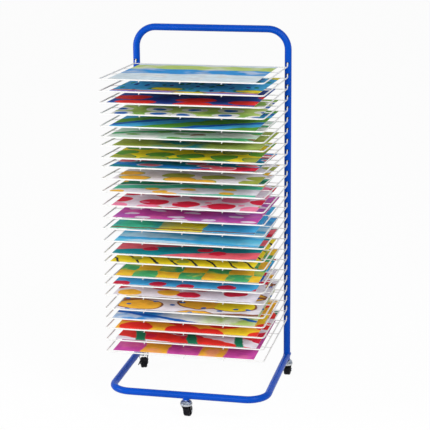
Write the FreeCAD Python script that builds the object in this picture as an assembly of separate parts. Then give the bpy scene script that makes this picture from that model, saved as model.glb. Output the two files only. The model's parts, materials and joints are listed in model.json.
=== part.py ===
import FreeCAD, Part
import math
import os

from FreeCAD import Vector

# Art drying rack: a bent steel tube frame on three swivel casters, with wire
# shelves whose hooks hang in slots in the uprights. Millimetres.
# X runs to the right, Y to the back, Z up. The origin is on the floor, under
# the middle of the rack.

# ---- driving dimensions: frame -------------------------------------------
rack_height = 1002.0          # floor to the top of the hoop
upright_spacing = 424.0       # between the uprights' centre lines
base_depth = 350.0            # uprights' centre lines to the front bar's
tube_d = 19.0
tube_wall = 1.2
hoop_bend_r = 55.0            # centre line radius of the top corners
base_bend_r = 55.0            # centre line radius of the front corners

stub_front_length = 65.0      # upright's centre line to the seam in the arm
stub_rear_length = 13.0       # upright's centre line to the stub's rear end
spigot_length = 40.0          # part of the stub that sits inside the arm
spigot_clearance = 0.1        # radial, between spigot and arm
seam_chamfer = 0.5
cope_flat = 3.0               # the upright's end stops this far above the stub's axis

plug_head_length = 3.0
plug_stem_gap = 1.0           # the insert stops this far behind the caster's stem
plug_lead_in = 2.0            # tapered end of the insert
plug_taper = 1.0
plug_clearance = 0.05
plug_face = 0.8               # flat of the head, as a share of the tube's radius

screw_d = 5.0                 # screw that holds an arm on its spigot
screw_setback = 20.0          # seam to the screw
screw_hole_clearance = 0.2
screw_head_d = 9.0
screw_head_length = 2.8
screw_length = 9.0            # under the head
socket_key = 3.0              # across flats of the drive socket
socket_depth = 1.6
weld_nut_d = 8.0
weld_nut_length = 4.5

# ---- driving dimensions: shelves -----------------------------------------
shelf_count = 25
top_hook_drop = 103.0         # top of the hoop to the top shelf's hook bend centre
bottom_hook_rise = 116.5      # base tube's centre line to the bottom shelf's hook bend centre
shelf_depth = 356.0           # elbow of the side wire to the front wire's axis
outer_wire_d = 3.5
inner_wire_d = 2.2
bays_across = 4
bays_deep = 3
rear_cross_setback = 9.0      # first cross wire ahead of the elbow
wire_end_proud = 1.0          # long wires stick out past the wires they are welded to
weld_bite = 0.2               # how far crossing wires melt into each other
corner_r = 9.0                # front corners, at the wire's centre line

hook_face_gap = 0.4           # wire to the tube's face, outside and inside
elbow_r = 4.0
hook_rise = 5.5               # shelf plane to the hook's bend centre
finger_length = 7.0           # straight end inside the tube
slot_width = 9.0
slot_top_gap = 1.0            # hook's bend to the slot's upper edge
slot_lip_gap = 0.3            # hook to the slot's lower edge

# A painted sheet of paper dries on each shelf.
sheet_side_gap = 22.0         # side wire's axis to the sheet's edge
sheet_front_gap = 7.8         # front wire's axis to the sheet's edge
sheet_rear_gap = 20.2         # elbow to the sheet's edge
sheet_thickness = 0.03        # at the wires' density, this has a painted sheet's mass
sheet_lift = 0.2              # sheet's underside above the cross wires
# No two sheets are laid alike: they differ by up to these amounts, which
# change from shelf to shelf as sines with these steps in radians.
sheet_aside, aside_step = 6.0, 2.3
sheet_slide, slide_step = 2.5, 1.1
sheet_skew, skew_step = 0.7, 1.7    # degrees

# How far each shelf's front wire stands above its rear end, top to bottom.
# The elbows are bent by hand, so no two shelves lie quite alike.
front_rise = [13, 12, 12, 14, 12, 14, 22, 20, 26, 25, 21, 14, 11,
              12, 9, 5, 12, 5, 11, 11, 4, 8, 10, 8, 5]

# ---- driving dimensions: casters -----------------------------------------
wheel_d = 31.0
wheel_width = 18.0
wheel_shoulder_r = 4.0
wheel_groove_width = 2.0
wheel_groove_depth = 0.8
wheel_recess_depth = 2.5
wheel_recess_draft = 1.0
wheel_rim_thickness = 4.0
hub_d = 11.0
axle_d = 5.0
axle_clearance = 0.05
axle_head_d = 8.0
axle_head_length = 1.5
trail = 12.0                  # swivel axis to axle
fork_sheet = 1.5
fork_side_gap = 0.8           # wheel to fork leg
leg_flare = 2.9               # each leg spreads this much towards the crown
leg_knee_drop = 11.0          # crown to where the legs start to spread
leg_half_depth = 6.5          # at the crown
leg_foot_r = 5.5              # round the axle

crown_tread_gap = 5.0         # top of the wheel to the underside of the fork's crown
crown_d = 33.0
crown_lip_height = 5.0
lip_thickness = 1.2
cup_lip_gap = 0.4             # cup to the crown's lip
cup_sheet = 1.3
cup_shoulder_rise = 9.5       # crown to the cup's shoulder
cup_top_rise = 13.0           # crown to the top of the cup
cup_top_r = 9.5
race_width = 4.5
ball_d = 3.0
ball_count = 12
ball_play = 0.1
kingpin_d = 6.0
kingpin_clearance = 0.05
rivet_head_d = 10.0
rivet_head_length = 1.8
rivet_gap = 0.3
hex_key = 13.0                # across flats
hex_height = 2.0              # between the cup and the boss
stem_d = 8.0
stem_reach = 8.0              # stem inside the tube
stem_hole_clearance = 0.2
thread_clearance = 0.05
thread_chamfer = 0.8
boss_d = 18.0
boss_height = 2.0             # boss below the tube

# brake on the left rear caster
brake_pin_offset = 14.5       # axle to brake pin, both back and up
brake_pin_d = 3.0
brake_pin_clearance = 0.05
brake_pin_head_d = 4.8
brake_pin_head_length = 1.0
brake_hub_r = 3.0
brake_side_gap = 0.5
brake_ear_r = 3.4
pedal_thickness = 2.2
pedal_reach = 10.5            # pin to the pedal's toe
pedal_drop = 1.5              # the toe hangs this much lower than the hub's top
pad_length = 9.0              # pin to the pad's lower edge
pad_thickness = 2.6
pad_tread_gap = 2.4           # pad to tread, released
tab_reach = 18.5              # middle of the wheel to the tip of the pedal's side tab
tab_drop = 14.5               # the tab slants down this far
tab_start = 4.3               # pin to the near edge of the tab

# Which way each wheel trails from its swivel axis, in degrees from -Y
# towards +X, as the rack was last pushed.
front_trail_angle = 174.0
rear_left_trail_angle = 20.0
rear_right_trail_angle = 182.0

# ---- sizes that follow ----------------------------------------------------
tube_r = tube_d / 2
bore_r = tube_r - tube_wall
wire_r = outer_wire_d / 2
inner_r = inner_wire_d / 2
half_spacing = upright_spacing / 2
cut_margin = 1.0              # a cutter reaches this far past what it cuts

# Heights follow each other from the floor up to the base tube.
axle_height = wheel_d / 2
crown_height = wheel_d + crown_tread_gap
leg_knee_height = crown_height - leg_knee_drop
cup_shoulder_height = crown_height + cup_shoulder_rise
cup_top_height = crown_height + cup_top_rise
boss_low = cup_top_height + hex_height
base_axis_height = boss_low + boss_height + tube_r

fork_inner = wheel_width / 2 + fork_side_gap
leg_spread = fork_inner + fork_sheet + leg_flare
brake_pin_back = trail + brake_pin_offset
brake_pin_height = axle_height + brake_pin_offset

top_axis_height = rack_height - tube_r
top_hook_height = rack_height - top_hook_drop
bottom_hook_height = base_axis_height + bottom_hook_rise
shelf_pitch = (top_hook_height - bottom_hook_height) / (shelf_count - 1)

# The hook is an S of two bends. The first bend's centre is in the middle of
# the tube's wall, and the shelf turns about it.
hook_bend_r = tube_wall / 2 + hook_face_gap + wire_r    # at the wire's centre line
pivot_ahead = tube_r - tube_wall / 2
riser_ahead = pivot_ahead + hook_bend_r
inside_bend_r = hook_bend_r - wire_r
slot_low = math.sqrt(inside_bend_r ** 2 - (tube_wall / 2) ** 2) - slot_lip_gap
slot_high = hook_bend_r + wire_r + slot_top_gap
front_reach = riser_ahead + shelf_depth + wire_r
rear_reach = max(trail + axle_height, stub_rear_length + plug_head_length)
upright_y = (front_reach - rear_reach) / 2
pivot_y = upright_y - pivot_ahead
front_bar_y = upright_y - base_depth
seam_y = upright_y - stub_front_length

X_AXIS = Vector(1, 0, 0)
Y_AXIS = Vector(0, 1, 0)
Z_AXIS = Vector(0, 0, 1)


def cylinder(radius, length, start, direction):
    return Part.makeCylinder(radius, length, start, direction)


def box_between(low, high):
    size = high.sub(low)
    return Part.makeBox(size.x, size.y, size.z, low)


def prism(points, direction):
    return Part.Face(Part.makePolygon(points + points[:1])).extrude(direction)


def hexagon_prism(across_flats, length, start):
    corner_radius = across_flats / math.sqrt(3)
    points = [
        start.add(Vector(corner_radius * math.cos(math.radians(60 * i)),
                         corner_radius * math.sin(math.radians(60 * i)), 0))
        for i in range(6)
    ]
    return prism(points, Vector(0, 0, length))


def turned(outline, centre, axis, radial):
    """A solid turned from (radius, distance along the axis) points."""
    points = [centre.add(radial * r).add(axis * s) for r, s in outline]
    face = Part.Face(Part.makePolygon(points + points[:1]))
    return face.revolve(centre, axis, 360)


def rounded_path(corners, radii):
    """A wire of straight runs through the corners, joined by tangent arcs."""
    edges = []
    start = corners[0]
    for before, corner, after, radius in zip(corners, corners[1:], corners[2:], radii):
        back = before.sub(corner).normalize()
        ahead = after.sub(corner).normalize()
        half_angle = back.getAngle(ahead) / 2
        setback = radius / math.tan(half_angle)
        arc_start = corner.add(back * setback)
        arc_end = corner.add(ahead * setback)
        bisector = back.add(ahead).normalize()
        arc_middle = corner.add(bisector * (radius / math.sin(half_angle) - radius))
        if arc_start.sub(start).Length > 1e-6:
            edges.append(Part.LineSegment(start, arc_start).toShape())
        edges.append(Part.Arc(arc_start, arc_middle, arc_end).toShape())
        start = arc_end
    edges.append(Part.LineSegment(start, corners[-1]).toShape())
    return Part.Wire(edges)


def rod_along(path, radius):
    """A round bar along a wire of tangent edges."""
    first = path.Edges[0]
    start = first.valueAt(first.FirstParameter)
    direction = first.tangentAt(first.FirstParameter)
    section = Part.Wire([Part.makeCircle(radius, start, direction)])
    return path.makePipeShell([section], True, True)


def tube_along(path, outer_radius, inner_radius):
    return rod_along(path, outer_radius).cut(rod_along(path, inner_radius))


# ---- frame ------------------------------------------------------------------
def slot_cutter(side, shelf):
    """The slot in an upright's front face for one shelf's hook."""
    pivot_z = top_hook_height - shelf * shelf_pitch
    x = side * half_spacing
    low = Vector(x - slot_width / 2, upright_y - tube_d, pivot_z + slot_low)
    high = Vector(x + slot_width / 2, upright_y - bore_r / 2, pivot_z + slot_high)
    return box_between(low, high)


def upright_hoop():
    corners = [
        Vector(-half_spacing, upright_y, base_axis_height),
        Vector(-half_spacing, upright_y, top_axis_height),
        Vector(half_spacing, upright_y, top_axis_height),
        Vector(half_spacing, upright_y, base_axis_height),
    ]
    hoop = tube_along(rounded_path(corners, [hoop_bend_r] * 2), tube_r, bore_r)
    cutters = []
    for side in (-1, 1):
        x = side * half_spacing
        stub = cylinder(tube_r, 4 * tube_d, Vector(x, upright_y - 2 * tube_d, base_axis_height), Y_AXIS)
        below = box_between(
            Vector(x - tube_d, upright_y - tube_d, base_axis_height - tube_d),
            Vector(x + tube_d, upright_y + tube_d, base_axis_height + cope_flat))
        cutters += [stub, below]
        cutters += [slot_cutter(side, shelf) for shelf in range(shelf_count)]
    return hoop.cut(cutters)


def rear_stub(side):
    """Short tube under an upright, necked down to the spigot that the arm slides on."""
    spigot_r = bore_r - spigot_clearance
    neck_bore = spigot_r - tube_wall
    outline = [
        (tube_r, stub_rear_length),
        (tube_r, seam_chamfer - stub_front_length),
        (tube_r - seam_chamfer, -stub_front_length),
        (spigot_r, -stub_front_length),
        (spigot_r, -stub_front_length - spigot_length),
        (neck_bore, -stub_front_length - spigot_length),
        (neck_bore, tube_wall - stub_front_length),
        (bore_r, 2 * tube_wall - stub_front_length),
        (bore_r, stub_rear_length),
    ]
    x = side * half_spacing
    stub = turned(outline, Vector(x, upright_y, base_axis_height), Y_AXIS, X_AXIS)
    stem_hole = cylinder(stem_d / 2 + stem_hole_clearance, tube_d,
                         Vector(x, upright_y, base_axis_height - tube_d), Z_AXIS)
    screw_hole = cylinder(screw_d / 2 + thread_clearance, tube_r,
                          Vector(x, seam_y - screw_setback, base_axis_height - tube_r), Z_AXIS)
    return stub.cut([stem_hole, screw_hole])


def base_frame():
    corners = [
        Vector(-half_spacing, seam_y, base_axis_height),
        Vector(-half_spacing, front_bar_y, base_axis_height),
        Vector(half_spacing, front_bar_y, base_axis_height),
        Vector(half_spacing, seam_y, base_axis_height),
    ]
    frame = tube_along(rounded_path(corners, [base_bend_r] * 2), tube_r, bore_r)
    holes = [cylinder(stem_d / 2 + stem_hole_clearance, tube_d,
                      Vector(0, front_bar_y, base_axis_height - tube_d), Z_AXIS)]
    for side in (-1, 1):
        holes.append(cylinder(
            screw_d / 2 + screw_hole_clearance, tube_d,
            Vector(side * half_spacing, seam_y - screw_setback, base_axis_height - tube_d), Z_AXIS))
    return frame.cut(holes)


def end_plug(side):
    insert_r = bore_r - plug_clearance
    insert_start = stem_d / 2 + plug_stem_gap
    outline = [
        (0, insert_start),
        (insert_r - plug_taper, insert_start),
        (insert_r, insert_start + plug_lead_in),
        (insert_r, stub_rear_length),
        (tube_r, stub_rear_length),
        (tube_r, stub_rear_length + plug_head_length / 2),
        (tube_r * plug_face, stub_rear_length + plug_head_length),
        (0, stub_rear_length + plug_head_length),
    ]
    centre = Vector(side * half_spacing, upright_y, base_axis_height)
    return turned(outline, centre, Y_AXIS, X_AXIS)


def joint_screw(side):
    """Socket head screw that goes up through the arm into the spigot's weld nut."""
    start = Vector(side * half_spacing, seam_y - screw_setback, base_axis_height - tube_r)
    head = cylinder(screw_head_d / 2, screw_head_length, start.sub(Vector(0, 0, screw_head_length)), Z_AXIS)
    shank = cylinder(screw_d / 2, screw_length, start, Z_AXIS)
    socket = hexagon_prism(socket_key, socket_depth, start.sub(Vector(0, 0, screw_head_length)))
    return head.fuse(shank).cut(socket).removeSplitter()


def joint_nut(side):
    neck_bore = bore_r - spigot_clearance - tube_wall
    centre = Vector(side * half_spacing, seam_y - screw_setback, base_axis_height)
    body = cylinder(weld_nut_d / 2, weld_nut_length, centre.sub(Vector(0, 0, neck_bore)), Z_AXIS)
    inside = cylinder(neck_bore, 2 * weld_nut_d, centre.sub(Vector(0, weld_nut_d, 0)), Y_AXIS)
    thread = cylinder(screw_d / 2 + thread_clearance, 2 * neck_bore,
                      centre.sub(Vector(0, 0, neck_bore)), Z_AXIS)
    return body.common(inside).cut(thread)


# ---- shelves ------------------------------------------------------------------
def laid_sheet(index, rear_middle, ahead, above):
    """The sheet on one shelf, from the middle of the line between the shelf's elbows."""
    width = upright_spacing - 2 * sheet_side_gap
    depth = shelf_depth - sheet_rear_gap - sheet_front_gap
    aside = sheet_aside * math.sin(aside_step * index)
    slide = sheet_slide * math.sin(slide_step * index)
    skew = math.radians(sheet_skew * math.sin(skew_step * index))
    across = X_AXIS * math.cos(skew) + ahead * math.sin(skew)
    along = ahead * math.cos(skew) - X_AXIS * math.sin(skew)
    centre = rear_middle.add(X_AXIS * aside).add(ahead * (sheet_rear_gap + depth / 2 - slide))
    corners = [centre.add(across * (i * width / 2)).add(along * (j * depth / 2))
               for i, j in ((-1, -1), (1, -1), (1, 1), (-1, 1))]
    return prism(corners, above * sheet_thickness)


def shelf(index):
    """One wire shelf: the bent outer wire with its two hooks, the welded grid and its sheet."""
    pivot_z = top_hook_height - index * shelf_pitch
    rise = front_rise[index % len(front_rise)]
    tilt = math.asin(rise / shelf_depth)
    ahead = Vector(0, -math.cos(tilt), math.sin(tilt))
    above = Vector(0, math.sin(tilt), math.cos(tilt))
    riser_y = pivot_y - hook_bend_r
    elbow = Vector(0, riser_y, pivot_z - hook_rise)
    front = elbow.add(ahead * shelf_depth)
    finger_y = pivot_y + hook_bend_r
    s_middle_z = pivot_z + hook_bend_r

    def at(x, point):
        return Vector(x, point.y, point.z)

    left, right = -half_spacing, half_spacing
    hook = [
        Vector(0, finger_y, pivot_z + 2 * hook_bend_r + finger_length),
        Vector(0, finger_y, s_middle_z),
        Vector(0, riser_y, s_middle_z),
        elbow,
        front,
    ]
    corners = [at(left, p) for p in hook] + [at(right, p) for p in reversed(hook)]
    bends = [hook_bend_r, hook_bend_r, elbow_r]
    radii = bends + [corner_r, corner_r] + bends[::-1]
    solids = [rod_along(rounded_path(corners, radii), wire_r)]

    # Cross wires lie between the side wires, long wires pass under them and
    # under the front wire.
    long_drop = wire_r + inner_r - weld_bite
    cross_drop = long_drop - (inner_wire_d - weld_bite)
    cross_half = half_spacing - wire_r + weld_bite
    bay_depth = (shelf_depth - rear_cross_setback) / bays_deep
    for row in range(bays_deep):
        centre = elbow.add(ahead * (rear_cross_setback + row * bay_depth)).sub(above * cross_drop)
        solids.append(cylinder(inner_r, 2 * cross_half, at(-cross_half, centre), X_AXIS))
    long_start = elbow.add(ahead * (rear_cross_setback - inner_r - wire_end_proud)).sub(above * long_drop)
    long_length = shelf_depth - rear_cross_setback + inner_r + 2 * wire_end_proud + wire_r
    bay_width = upright_spacing / bays_across
    for column in range(1, bays_across):
        solids.append(cylinder(inner_r, long_length, at(left + column * bay_width, long_start), ahead))
    sheet_low = inner_r - cross_drop + sheet_lift
    solids.append(laid_sheet(index, elbow.add(above * sheet_low), ahead, above))
    return solids


# ---- casters --------------------------------------------------------------------
# A caster is drawn with its swivel axis on Z, standing on the floor, and its
# wheel trailing towards -Y.
def caster_boss(tube_axis):
    """Collar welded under the tube, which the stem screws into."""
    low = Vector(0, 0, boss_low)
    body = cylinder(boss_d / 2, tube_r / 2 + boss_height, low, Z_AXIS)
    thread = cylinder(stem_d / 2 + thread_clearance, tube_d, low, Z_AXIS)
    tube = cylinder(tube_r, 2 * boss_d, Vector(0, 0, base_axis_height).sub(tube_axis * boss_d), tube_axis)
    return body.cut([thread, tube])


def caster_stem():
    """Threaded stem, hexagon, cup and kingpin: what stays with the tube when the wheel turns."""
    stem_top = base_axis_height - tube_r + stem_reach
    kingpin_low = crown_height - rivet_gap - rivet_head_length
    cup_r = crown_d / 2 - lip_thickness - cup_lip_gap
    race_r = cup_r - cup_sheet - race_width
    race_low = crown_height + fork_sheet + ball_d + ball_play
    outline = [
        (0, kingpin_low),
        (rivet_head_d / 2, kingpin_low),
        (rivet_head_d / 2, kingpin_low + rivet_head_length),
        (kingpin_d / 2, kingpin_low + rivet_head_length),
        (kingpin_d / 2, cup_top_height - cup_sheet),
        (cup_top_r - cup_sheet, cup_top_height - cup_sheet),
        (cup_r - cup_sheet, cup_shoulder_height - cup_sheet / 2),
        (cup_r - cup_sheet, race_low + cup_sheet),
        (race_r, race_low + cup_sheet),
        (race_r, race_low),
        (cup_r, race_low),
        (cup_r, cup_shoulder_height),
        (cup_r - 2 * cup_sheet, cup_shoulder_height + 2 * cup_sheet),
        (cup_top_r, cup_top_height),
        (stem_d / 2, cup_top_height),
        (stem_d / 2, stem_top - thread_chamfer),
        (stem_d / 2 - thread_chamfer, stem_top),
        (0, stem_top),
    ]
    turned_part = turned(outline, Vector(0, 0, 0), Z_AXIS, X_AXIS)
    hexagon = hexagon_prism(hex_key, hex_height, Vector(0, 0, cup_top_height))
    return turned_part.fuse(hexagon)


def fork_leg_band(side):
    """Front outline of one leg, bent outwards above the knee."""
    outer = fork_inner + fork_sheet
    foot = axle_height - leg_foot_r - cut_margin
    depth = 3 * trail + crown_d
    points = [
        (fork_inner, foot), (outer, foot), (outer, leg_knee_height),
        (leg_spread, crown_height), (leg_spread, crown_height + fork_sheet / 2),
        (leg_spread - fork_sheet, crown_height + fork_sheet / 2),
        (leg_spread - fork_sheet, crown_height), (fork_inner, leg_knee_height),
    ]
    return prism([Vector(side * x, -depth, z) for x, z in points], Vector(0, 2 * depth, 0))


def fork_side_outline():
    """Side outline of a leg, as a solid across the whole caster."""
    half = crown_d
    top = crown_height + fork_sheet / 2
    foot = cylinder(leg_foot_r, 2 * half, Vector(-half, -trail, axle_height), X_AXIS)
    web = prism([
        Vector(-half, -leg_half_depth, top),
        Vector(-half, leg_half_depth, top),
        Vector(-half, leg_foot_r - trail, axle_height),
        Vector(-half, -trail - leg_foot_r, axle_height),
    ], Vector(2 * half, 0, 0))
    return foot.fuse(web)


def brake_ear(side):
    """Flat ear behind a leg, which carries one end of the brake pin."""
    x = fork_inner if side > 0 else -fork_inner - fork_sheet
    ear = cylinder(brake_ear_r, fork_sheet, Vector(x, -brake_pin_back, brake_pin_height), X_AXIS)
    arm = prism([
        Vector(x, -brake_pin_back, brake_pin_height + brake_ear_r),
        Vector(x, -leg_half_depth, leg_knee_height),
        Vector(x, -trail, axle_height),
        Vector(x, -trail - leg_foot_r, axle_height),
        Vector(x, -brake_pin_back, brake_pin_height - brake_ear_r),
    ], Vector(fork_sheet, 0, 0))
    return ear.fuse(arm)


def caster_fork(braked):
    lip_inner = crown_d / 2 - lip_thickness
    crown_outline = [
        (kingpin_d / 2 + kingpin_clearance, crown_height),
        (crown_d / 2 - lip_thickness / 2, crown_height),
        (crown_d / 2, crown_height + lip_thickness / 2),
        (crown_d / 2, crown_height + crown_lip_height),
        (lip_inner, crown_height + crown_lip_height),
        (lip_inner, crown_height + fork_sheet),
        (kingpin_d / 2 + kingpin_clearance, crown_height + fork_sheet),
    ]
    crown = turned(crown_outline, Vector(0, 0, 0), Z_AXIS, X_AXIS)
    side_view = fork_side_outline()
    half = crown_d
    pieces = [fork_leg_band(side).common(side_view) for side in (-1, 1)]
    holes = [cylinder(axle_d / 2, 2 * half, Vector(-half, -trail, axle_height), X_AXIS)]
    if braked:
        pieces += [brake_ear(side) for side in (-1, 1)]
        holes.append(cylinder(brake_pin_d / 2, 2 * half,
                              Vector(-half, -brake_pin_back, brake_pin_height), X_AXIS))
    return crown.fuse(pieces).cut(holes).removeSplitter()


def pin_across(radius, head_radius, head_length, y, z):
    half = fork_inner + fork_sheet
    outline = [
        (0, -half - head_length), (head_radius, -half - head_length), (head_radius, -half),
        (radius, -half), (radius, half), (head_radius, half),
        (head_radius, half + head_length), (0, half + head_length),
    ]
    return turned(outline, Vector(0, y, z), X_AXIS, Z_AXIS)


def caster_axle():
    return pin_across(axle_d / 2, axle_head_d / 2, axle_head_length, -trail, axle_height)


def caster_balls():
    circle_r = crown_d / 2 - lip_thickness - cup_lip_gap - cup_sheet - race_width / 2
    z = crown_height + fork_sheet + ball_d / 2 + ball_play / 2
    balls = []
    for i in range(ball_count):
        angle = 2 * math.pi * i / ball_count
        centre = Vector(circle_r * math.cos(angle), circle_r * math.sin(angle), z)
        balls.append(Part.makeSphere(ball_d / 2, centre))
    return balls


def caster_wheel():
    half = wheel_width / 2
    radius = wheel_d / 2
    rim_inner = radius - wheel_rim_thickness
    blank = cylinder(radius, wheel_width, Vector(-half, -trail, axle_height), X_AXIS)
    edges = [e for e in blank.Edges if e.Curve.TypeId == "Part::GeomCircle"]
    wheel = blank.makeFillet(wheel_shoulder_r, edges)
    cutters = [cylinder(axle_d / 2 + axle_clearance, 2 * wheel_width,
                        Vector(-wheel_width, -trail, axle_height), X_AXIS)]
    groove_low, groove_high = radius - wheel_groove_depth, radius + cut_margin
    groove_half = wheel_groove_width / 2
    groove_outline = [
        (groove_low, -groove_half), (groove_high, -groove_half),
        (groove_high, groove_half), (groove_low, groove_half),
    ]
    cutters.append(turned(groove_outline, Vector(0, -trail, axle_height), X_AXIS, Z_AXIS))
    for side in (-1, 1):
        deep = side * (half - wheel_recess_depth)
        outside = side * (half + cut_margin)
        outline = [(hub_d / 2, deep), (rim_inner - wheel_recess_draft, deep),
                   (rim_inner, outside), (hub_d / 2, outside)]
        cutters.append(turned(outline, Vector(0, -trail, axle_height), X_AXIS, Z_AXIS))
    return wheel.cut(cutters)


def brake_pedal():
    """Pedal whose pad swings against the back of the tread when the toe is pressed."""
    half = fork_inner - brake_side_gap
    across = Vector(2 * half, 0, 0)
    pin = Vector(-half, -brake_pin_back, brake_pin_height)

    def from_pin(behind, up):
        return pin.add(Vector(0, -behind, up))

    hub_top = brake_hub_r
    hub = cylinder(brake_hub_r, 2 * half, pin, X_AXIS)
    plate = prism([
        from_pin(0, hub_top),
        from_pin(0, hub_top - pedal_thickness),
        from_pin(pedal_reach, hub_top - pedal_drop - pedal_thickness),
        from_pin(pedal_reach, hub_top - pedal_drop),
    ], across)

    pad_low = brake_pin_height - pad_length
    tread_behind = trail + math.sqrt(axle_height ** 2 - (pad_low - axle_height) ** 2)
    pad_near = tread_behind + pad_tread_gap - brake_pin_back
    pad_far = pad_near + pad_thickness
    pad = prism([
        from_pin(pad_near, 0),
        from_pin(pad_near, -pad_length),
        from_pin(pad_far, -pad_length),
        from_pin(pad_far, hub_top - pedal_thickness),
    ], across)

    top = brake_pin_height + hub_top - pedal_drop
    low = top - tab_drop
    tab_profile = [
        (pedal_thickness - half, top),
        (-half - pedal_thickness, top),
        (-tab_reach, low),
        (pedal_thickness - tab_reach, low),
        (-half - pedal_thickness / 2, top - pedal_thickness),
        (pedal_thickness - half, top - pedal_thickness),
    ]
    tab = prism([Vector(x, -brake_pin_back - pedal_reach, z) for x, z in tab_profile],
                Vector(0, pedal_reach - tab_start, 0))
    bore = cylinder(brake_pin_d / 2 + brake_pin_clearance, 2 * half, pin, X_AXIS)
    return hub.fuse([plate, pad, tab]).cut(bore).removeSplitter()


def brake_pin():
    return pin_across(brake_pin_d / 2, brake_pin_head_d / 2, brake_pin_head_length,
                      -brake_pin_back, brake_pin_height)


# ---- everything, node by node ------------------------------------------------------
def placed(shape, x, y, turn):
    """A caster piece turned about the swivel axis and set under the tube."""
    moved = shape.copy()
    moved.rotate(Vector(0, 0, 0), Z_AXIS, turn)
    moved.translate(Vector(x, y, 0))
    return moved


def build_nodes():
    nodes = {
        "upright_hoop": [upright_hoop()],
        "base_frame": [base_frame()],
        "joint_screws": [joint_screw(-1), joint_screw(1)],
        "joint_nuts": [joint_nut(-1), joint_nut(1)],
    }
    for side, word in ((-1, "left"), (1, "right")):
        nodes["rear_stub_" + word] = [rear_stub(side)]
        nodes["end_plug_" + word] = [end_plug(side)]
    for index in range(shelf_count):
        nodes["shelf_%02d" % (index + 1)] = shelf(index)
    casters = [
        ("front", 0, front_bar_y, X_AXIS, front_trail_angle, False),
        ("rear_left", -half_spacing, upright_y, Y_AXIS, rear_left_trail_angle, True),
        ("rear_right", half_spacing, upright_y, Y_AXIS, rear_right_trail_angle, False),
    ]
    for word, x, y, tube_axis, turn, braked in casters:
        pieces = {
            "stem": [caster_stem()],
            "fork": [caster_fork(braked)],
            "axle": [caster_axle()],
            "balls": caster_balls(),
            "wheel": [caster_wheel()],
        }
        if braked:
            pieces["brake_pedal"] = [brake_pedal()]
            pieces["brake_pin"] = [brake_pin()]
        for piece, shapes in pieces.items():
            spin = 0 if piece == "stem" else turn
            nodes["caster_%s_%s" % (word, piece)] = [placed(s, x, y, spin) for s in shapes]
        nodes["caster_%s_boss" % word] = [placed(caster_boss(tube_axis), x, y, 0)]
    return nodes


os.makedirs("parts", exist_ok=True)
for name, shapes in build_nodes().items():
    solids = [solid for shape in shapes for solid in shape.Solids]
    body = solids[0] if len(solids) == 1 else Part.makeCompound(solids)
    body.exportStep("parts/%s.step" % name)
    print(name, len(solids), "solids", round(sum(s.Volume for s in solids), 1), "mm3",
          "valid" if all(s.isValid() for s in solids) else "INVALID")
print("uprights at y =", round(upright_y, 3))
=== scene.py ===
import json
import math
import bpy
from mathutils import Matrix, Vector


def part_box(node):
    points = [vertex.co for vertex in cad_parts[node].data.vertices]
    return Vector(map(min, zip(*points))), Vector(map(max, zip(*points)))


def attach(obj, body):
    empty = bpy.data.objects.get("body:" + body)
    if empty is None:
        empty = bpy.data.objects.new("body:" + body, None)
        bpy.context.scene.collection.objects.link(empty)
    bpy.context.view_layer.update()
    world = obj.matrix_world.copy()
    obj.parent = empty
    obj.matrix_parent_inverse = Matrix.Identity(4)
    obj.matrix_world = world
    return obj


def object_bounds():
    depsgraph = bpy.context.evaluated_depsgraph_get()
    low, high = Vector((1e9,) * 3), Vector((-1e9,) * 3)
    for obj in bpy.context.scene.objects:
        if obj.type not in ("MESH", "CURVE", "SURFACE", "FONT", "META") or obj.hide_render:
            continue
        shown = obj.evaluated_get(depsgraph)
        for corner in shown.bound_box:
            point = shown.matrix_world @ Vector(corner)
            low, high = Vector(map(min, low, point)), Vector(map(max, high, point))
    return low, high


bl_info = {
    "name": "Art drying rack",
    "version": (1, 0, 0),
    "blender": (4, 5, 0),
    "location": "View3D > Sidebar > Drying rack",
    "description": "Finishes a mobile art drying rack and lays painted sheets on its wire shelves",
    "category": "Object",
}

import bpy
from mathutils import Matrix, Vector

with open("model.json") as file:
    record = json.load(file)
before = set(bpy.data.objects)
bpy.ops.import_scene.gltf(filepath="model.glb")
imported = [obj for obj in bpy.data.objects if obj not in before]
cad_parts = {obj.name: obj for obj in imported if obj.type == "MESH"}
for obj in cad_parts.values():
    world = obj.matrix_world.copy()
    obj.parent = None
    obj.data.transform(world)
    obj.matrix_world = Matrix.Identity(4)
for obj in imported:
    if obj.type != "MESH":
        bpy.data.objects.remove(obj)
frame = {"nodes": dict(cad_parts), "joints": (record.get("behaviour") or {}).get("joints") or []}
CAD_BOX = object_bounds()

# ---- what the frame says, in metres ------------------------------------------
NODES = frame["nodes"]
PIVOTS = {joint["child"]: Vector(joint["pos_m"]) for joint in frame["joints"]}
SHELVES = sorted(name for name in NODES if name.startswith("shelf_"))
CASTERS = sorted(name[:-len("_stem")] for name in NODES if name.endswith("_stem"))
STUBS = sorted(name for name in NODES if name.startswith("rear_stub"))

STUB_LOW, STUB_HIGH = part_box(STUBS[0])
TUBE_R = (STUB_HIGH.x - STUB_LOW.x) / 2
HALF_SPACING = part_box("upright_hoop")[1].x - TUBE_R
UPRIGHT_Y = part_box("upright_hoop")[1].y - TUBE_R
CROWN_HEIGHT = PIVOTS["caster_front_swivel"].z
WIRE_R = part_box(SHELVES[0])[1].x - HALF_SPACING

# ---- sizes that the frame's boxes don't give ---------------------------------
TUBE_WALL = 0.0012
SLOTS_ABOVE = 0.02              # the tubes' inside is bare steel, painted near black as shade, up to here above the top hooks
BOSS_R = 0.009
BOSS_BEAD = 0.6                 # a boss's weld bead, as a share of an upright's
COPE_FLAT = 0.003               # a bead's least rise, where the tube's side stands upright
CROWN_SEAM = 0.0001             # the black legs reach this far above the crown's underside

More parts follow.
